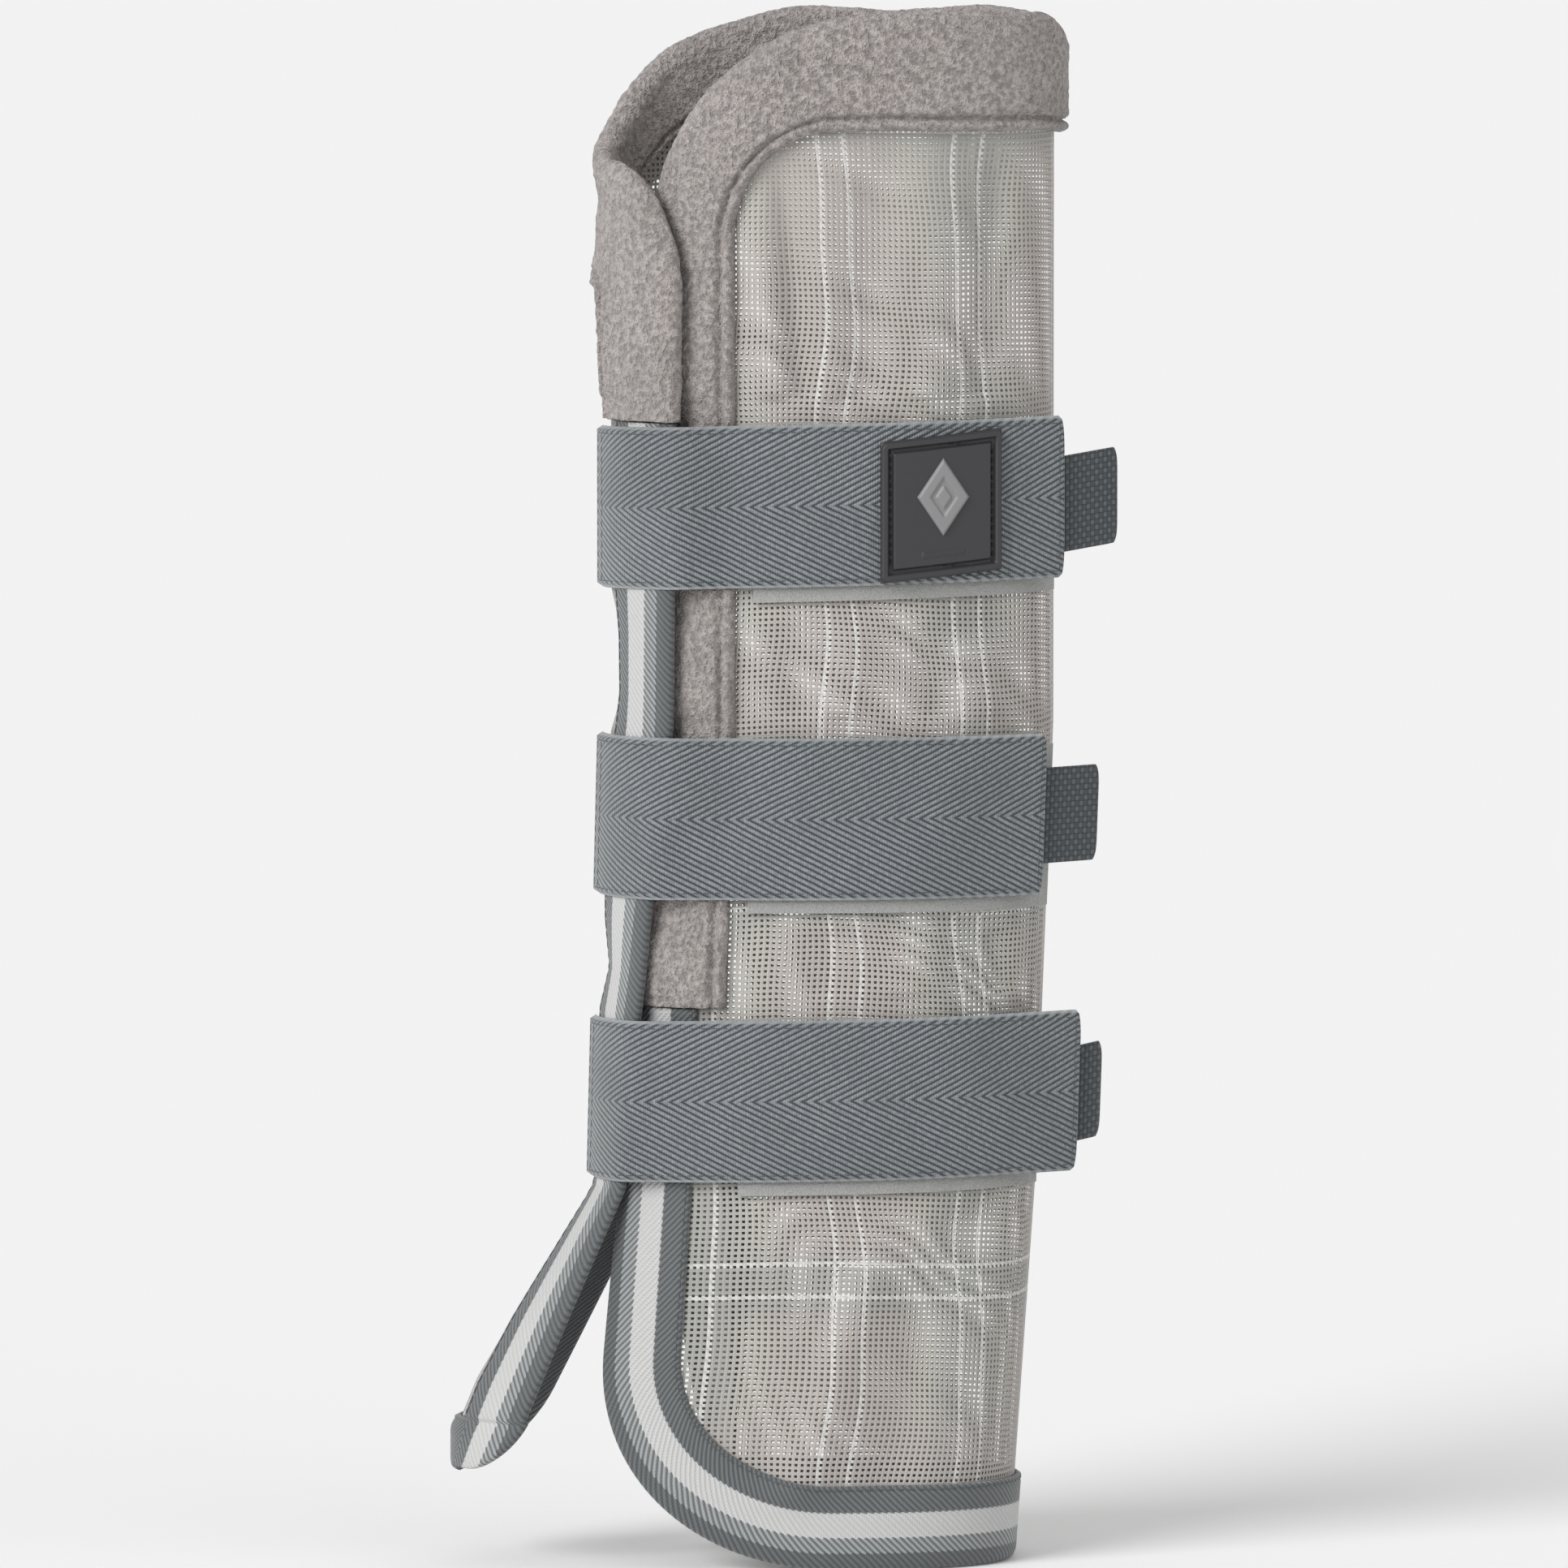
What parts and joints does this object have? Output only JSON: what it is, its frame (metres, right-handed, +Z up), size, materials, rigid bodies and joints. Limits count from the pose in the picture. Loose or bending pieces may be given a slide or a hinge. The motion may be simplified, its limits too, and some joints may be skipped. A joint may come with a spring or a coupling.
{
  "type": "horse fly boot",
  "caption": "Tall mesh fly boot for a horse's leg: a net panel rolled into an oval tube, edged with fleece and striped tape, and closed by webbing straps with pull tabs.",
  "frame": {"origin": "centre of the footprint, on the surface that the boot stands on", "axes": "+Z up along the leg, +X towards the straps' free tips, -Y towards the front panel that the straps close over"},
  "size_m": [0.2104, 0.0896, 0.48],
  "materials": {
    "mesh": "coated net cloth with a faint plaid",
    "fleece": "curly pile",
    "tape": "striped twill",
    "webbing": "herringbone webbing",
    "tab": "basket weave webbing",
    "hook": "hook tape",
    "loop": "loop tape",
    "badge": "matte moulded",
    "motif": "matte moulded"
  },
  "bodies": {
    "panel": {"mesh_front": "mesh", "mesh_back": "mesh", "mesh_back_foot": "mesh", "fleece_top_front": "fleece", "fleece_front_edge": "fleece", "fleece_top_back": "fleece", "tape_foot_front": "tape", "tape_front_edge": "tape", "tape_foot_back": "tape", "tape_back_edge": "tape", "loop_top": "loop", "loop_middle": "loop", "loop_bottom": "loop"},
    "flap": {"flap_mesh": "mesh", "flap_corner_mesh": "mesh", "flap_fleece": "fleece", "flap_tape": "tape", "flap_hem": "tape"},
    "top_strap": {"strap_top": "webbing", "hook_top": "hook", "tab_top": "tab", "badge": "badge", "badge_motif": "motif"},
    "middle_strap": {"strap_middle": "webbing", "hook_middle": "hook", "tab_middle": "tab"},
    "bottom_strap": {"strap_bottom": "webbing", "hook_bottom": "hook", "tab_bottom": "tab"}
  },
  "joints": [
    {"name": "flap_fold", "type": "hinge", "parent": "panel", "child": "flap", "pos_m": [-0.05844, 0.00226, 0.24], "axis": [0, 0, -1], "range_deg": [0, 75]},
    {"name": "top_strap_fold", "type": "hinge", "parent": "flap", "child": "top_strap", "pos_m": [-0.05677, -0.00106, 0.327], "axis": [0, 0, -1], "range_deg": [0, 120]},
    {"name": "middle_strap_fold", "type": "hinge", "parent": "flap", "child": "middle_strap", "pos_m": [-0.05746, -0.00103, 0.232], "axis": [0, 0, -1], "range_deg": [0, 120]},
    {"name": "bottom_strap_fold", "type": "hinge", "parent": "flap", "child": "bottom_strap", "pos_m": [-0.05963, -0.00095, 0.144], "axis": [0, 0, -1], "range_deg": [0, 120]}
  ]
}
